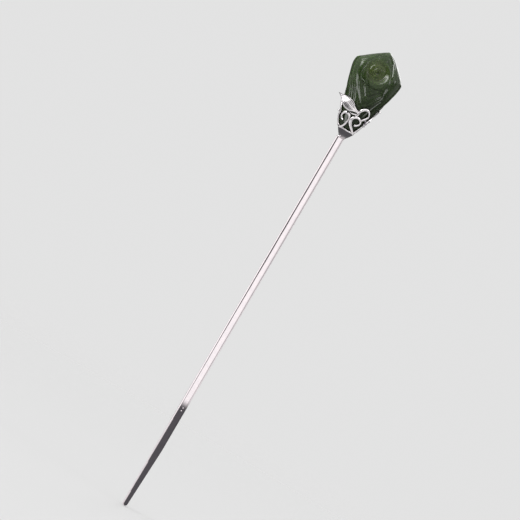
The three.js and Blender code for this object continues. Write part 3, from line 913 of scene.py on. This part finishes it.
def silver_material(name, bright, dark, roughness, patina_and_shade_amount):
    """Polished silver with fine finishing marks, darkened per vertex: patina where polish doesn't reach, and
    painted shade and dark reflection on some pieces.
    """
    material, tree, shader = new_material(name)
    # The per-vertex amount darkens towards the dark colour: patina in hollows, painted shade and dark
    # reflection where pieces set it.
    darkened = calculated(tree, "MULTIPLY", attribute(tree, "patina_and_shade"), patina_and_shade_amount)
    colour = mixed(tree, darkened, bright, dark)
    cloud = noise(tree, 700, 4)
    uneven = fitted(tree, cloud, (0, roughness * 0.7), (1, roughness * 1.4))
    feed(tree, shader, {
        "Metallic": 1.0,
        "Base Color": mixed(tree, 1.0, colour, ramp(tree, cloud, CLOUD_TINT), "MULTIPLY"),
        "Roughness": calculated(tree, "MULTIPLY_ADD", darkened, PATINA_ROUGHNESS, uneven),
        "Normal": bumped(tree, noise(tree, 2500, 2, (1, 1, 0.05)), 0.10, 0.00001),
    })
    return material


JADE_CLOUDS = [(0.30, (0.013, 0.024, 0.006)), (0.52, (0.021, 0.036, 0.011)), (0.74, (0.036, 0.056, 0.022))]
JADE_FLECKS = [(0.30, grey(0.55)), (0.42, grey(1.0))]
# The heart's painted glow: a brighter, yellower green than the body.
JADE_HEART_GLOW = (0.034, 0.049, 0.012)
# Painted shade in the grooves, full at the depth below the smoothed carving given next.
JADE_GROOVE_SHADE = (0.012, 0.022, 0.003)
FULL_GROOVE_SHADE = -0.16
# Painted shade by the stone's height in metres: it is darker towards the cup, where less light falls.
SHADE_BY_HEIGHT = [(0.0, 0.42), (0.012, 0.52), (0.018, 0.82), (0.024, 1.0), (0.03, 1.0)]


def jade_material():
    """Dark green nephrite: cloudy, with darker flecks, painted shade in the grooves and towards the cup, a
    painted glow in the heart and a waxy polish.
    """
    material, tree, shader = new_material("green_jade")
    cloud = noise(tree, 260, 4, (1, 1, 0.6))
    flecks = ramp(tree, noise(tree, 1500, 5, (1, 1, 0.7)), JADE_FLECKS)
    body = mixed(tree, 1.0, ramp(tree, cloud, JADE_CLOUDS), flecks, "MULTIPLY")
    # Painted glow: the heart brighter and yellower, as if lit through the stone.
    heart = mixed(tree, 1.0, flecks, JADE_HEART_GLOW, "MULTIPLY")
    with_heart_glow = mixed(tree, attribute(tree, "heart"), body, heart)
    # Painted shade in the narrow grooves of the carving.
    depth = fitted(tree, attribute(tree, "groove"), (0, 0), (FULL_GROOVE_SHADE, 1))
    shaded = mixed(tree, depth, with_heart_glow, JADE_GROOVE_SHADE)
    # Painted shade: the stone darkens towards the cup.
    painted_shade_by_height = grey_ramp(tree, axes(tree, coordinates(tree, "Object"))["Z"], 0.0, 0.03, SHADE_BY_HEIGHT)
    feed(tree, shader, {
        "Base Color": mixed(tree, 1.0, shaded, painted_shade_by_height, "MULTIPLY"),
        "Subsurface Weight": 0.35,
        "Subsurface Radius": (0.6, 1.0, 0.4),
        "Subsurface Scale": 0.0012,
        "IOR": 1.6,
        "Specular IOR Level": 0.20,
        "Roughness": fitted(tree, cloud, (0, 0.10), (1, 0.20)),
        "Normal": bumped(tree, noise(tree, 3200, 3), 0.06, 0.00003),
    })
    return material


def cement_material():
    material, tree, shader = new_material("jewellers_cement")
    tones = [(0.3, (0.55, 0.5, 0.4)), (0.7, (0.75, 0.7, 0.6))]
    feed(tree, shader, {"Base Color": ramp(tree, noise(tree, 2000, 3), tones), "Roughness": 0.6})
    return material


# ---------------------------------------------------------------- stage, lights and camera
FLOOR_RADIUS = 3.0
FLOOR_GAP = 0.0001
FLOOR_FADE = (0.12, 0.65)  # the distances at which the floor starts to fade and is gone
PALE = 0.60
BACKGROUND_TONE = 0.765
STUDIO_STRENGTH = 1.25


def make_floor():
    """A pale floor that fades into the background with distance."""
    bpy.ops.mesh.primitive_circle_add(vertices=96, radius=FLOOR_RADIUS, fill_type="NGON")
    floor = bpy.context.object
    floor.name = "pale_floor"
    floor.location.z = STEM_LOW.z - FLOOR_GAP
    material, tree, shader = new_material("pale_floor")
    feed(tree, shader, {"Base Color": grey(PALE), "Roughness": 0.9, "Specular IOR Level": 0.1})
    length = new_node(tree, "VectorMath", {0: coordinates(tree, "Object")})
    length.operation = "LENGTH"
    inputs = {"Value": length.outputs["Value"], "From Min": FLOOR_FADE[0], "From Max": FLOOR_FADE[1]}
    fade = new_node(tree, "MapRange", inputs)
    fade.interpolation_type = "SMOOTHSTEP"
    clear = new_node(tree, "BsdfTransparent", {})
    set_surface(tree, "Material Output", fade.outputs["Result"], shader, clear)
    floor.data.materials.append(material)


# The studio round the pin, as brightness at azimuths in degrees: 0 is in front of the rose and
# 90 is on its right. Bright panels stand between dark gaps, which give the silver its contrast.
STUDIO_RING = [
    (-180, 0.55), (-168, 0.50), (-158, 0.08), (-118, 0.08), (-106, 0.90), (-64, 1.00), (-56, 0.10),
    (-16, 0.08), (-11, 0.85), (16, 0.82), (44, 0.62), (60, 0.34), (78, 0.32), (88, 0.80), (112, 0.75),
    (122, 0.08), (158, 0.08), (168, 0.50), (180, 0.55),
]
# How much of the ring shows at each height, as the sine of the elevation, and the glow overhead.
RING_SHARE = [(-1.0, 0.3), (-0.2, 0.35), (-0.12, 1.0), (0.55, 1.0), (0.8, 0.35), (1.0, 0.2)]
OVERHEAD = [(-1.0, 0.0), (0.45, 0.0), (0.75, 0.75), (1.0, 0.85)]


def make_world():
    """The camera sees an even pale background; reflections see a studio of soft panels."""
    world = bpy.data.worlds.new("studio")
    world.use_nodes = True
    bpy.context.scene.world = world
    tree = world.node_tree
    axis = axes(tree, coordinates(tree, "Generated"))
    front = calculated(tree, "MULTIPLY", axis["Y"], -1.0)
    azimuth = calculated(tree, "ARCTAN2", axis["X"], front)
    in_radians = [(math.radians(a), level) for a, level in STUDIO_RING]
    ring = grey_ramp(tree, azimuth, -math.pi, math.pi, in_radians)
    panels = mixed(tree, 1.0, ring, grey_ramp(tree, axis["Z"], -1.0, 1.0, RING_SHARE), "MULTIPLY")
    whole = mixed(tree, 1.0, panels, grey_ramp(tree, axis["Z"], -1.0, 1.0, OVERHEAD), "ADD")
    studio = tree.nodes["Background"]
    feed(tree, studio, {"Color": whole, "Strength": STUDIO_STRENGTH})
    seen = new_node(tree, "Background", {"Color": grey(BACKGROUND_TONE)})
    to_camera = new_node(tree, "LightPath", {}).outputs["Is Camera Ray"]
    set_surface(tree, "World Output", to_camera, studio, seen)


# Area lights as (name, place in metres, width and height, watts).
SOFTBOX_TARGET = (0, 0, -0.03)
SOFTBOXES = [
    ("left_softbox", (-1.35, -0.85, 0.88), (0.55, 0.85), 11),
    ("right_softbox", (1.3, -0.8, 0.92), (0.5, 0.8), 6),
    ("back_softbox", (0.4, 1.7, 0.9), (0.5, 1.4), 5),
]
# These light the stone only: its polish shows them as narrow highlights, and the silver doesn't.
STONE_TARGET = (0, 0, 0.016)
STONE_LIGHTS = [
    ("stone_light_left", (-1.28, -0.96, 1.10), (0.55, 1.9), 27),
    ("stone_light_low_left", (-0.170, -0.140, -0.075), (0.10, 0.14), 0.33),
    ("stone_light_right", (1.39, -0.80, -0.28), (0.3, 0.4), 2.4),
    ("stone_light_back", (0.30, 1.30, 1.00), (1.2, 1.0), 7),
]


def softbox(name, place, size, power, target):
    """A rectangular area light that faces a target."""
    light = bpy.data.lights.new(name, "AREA")
    light.shape = "RECTANGLE"
    light.size, light.size_y = size
    light.energy = power
    lamp = bpy.data.objects.new(name, light)
    bpy.context.scene.collection.objects.link(lamp)
    lamp.location = place
    lamp.rotation_euler = (Vector(target) - Vector(place)).to_track_quat("-Z", "Y").to_euler()
    lamp.visible_camera = False
    return lamp


def make_lights(stone):
    for light in SOFTBOXES:
        softbox(*light, SOFTBOX_TARGET)
    only_stone = bpy.data.collections.new("lit_stone")
    only_stone.objects.link(stone)
    for light in STONE_LIGHTS:
        softbox(*light, STONE_TARGET).light_linking.receiver_collection = only_stone


LEAN = math.radians(30.3)  # how far the pin leans to the right in the picture
PICTURE_WIDTH = 0.1586  # what the picture spans at the pin, in metres
CAMERA_DISTANCE = 0.8
VIEW_CENTRE = Vector((-0.00230, 0, -0.04472))


def make_camera():
    camera = bpy.data.cameras.new("camera")
    camera.sensor_width = 36
    camera.lens = camera.sensor_width * CAMERA_DISTANCE / PICTURE_WIDTH
    holder = bpy.data.objects.new("camera", camera)
    bpy.context.scene.collection.objects.link(holder)
    right = Vector((math.cos(LEAN), 0, math.sin(LEAN)))
    up = Vector((-math.sin(LEAN), 0, math.cos(LEAN)))
    back = Vector((0, -1, 0))
    place = VIEW_CENTRE + back * CAMERA_DISTANCE
    turned = Matrix((right, up, back)).transposed().to_4x4()
    holder.matrix_world = Matrix.Translation(place) @ turned
    bpy.context.scene.camera = holder


def recolour(node, material):
    """Gives a CAD mesh that is kept in the scene another material."""
    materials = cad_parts[node].data.materials
    materials.clear()
    materials.append(material)


# ---------------------------------------------------------------- build
bpy.context.scene.view_settings.view_transform = "Standard"
make_camera()
make_floor()
make_world()

# The dark colour for patina, also used for painted shade and painted dark reflection.
PATINA_AND_SHADE = (0.038, 0.035, 0.044)
silver = silver_material("polished_silver", (0.97, 0.94, 0.955), PATINA_AND_SHADE, 0.11, 0.93)
stem_silver = silver_material("stem_silver", (0.96, 0.892, 0.918), PATINA_AND_SHADE, 0.12, 0.93)
dark_silver = silver_material("oxidised_silver", (0.42, 0.40, 0.43), (0.06, 0.058, 0.065), 0.24, 0.9)

make_stem(stem_silver)
make_neck(stem_silver)
for number, from_tip in enumerate(MARKS, start=1):
    make_mark(f"raised_dot_{number}", STEM_LENGTH - from_tip, stem_silver)
make_cup(silver)
bud = make_bud(jade_material())
make_wires(silver)
make_leaf("silver_leaf_front", LEAF_FRONT, FRONT, silver, "leaf_front")
make_leaf("silver_leaf_back", LEAF_BACK, BACK, silver, "leaf_back")
make_granules(silver, dark_silver)
recolour("bud_peg", silver)
recolour("cement_bed", cement_material())
make_lights(bud)
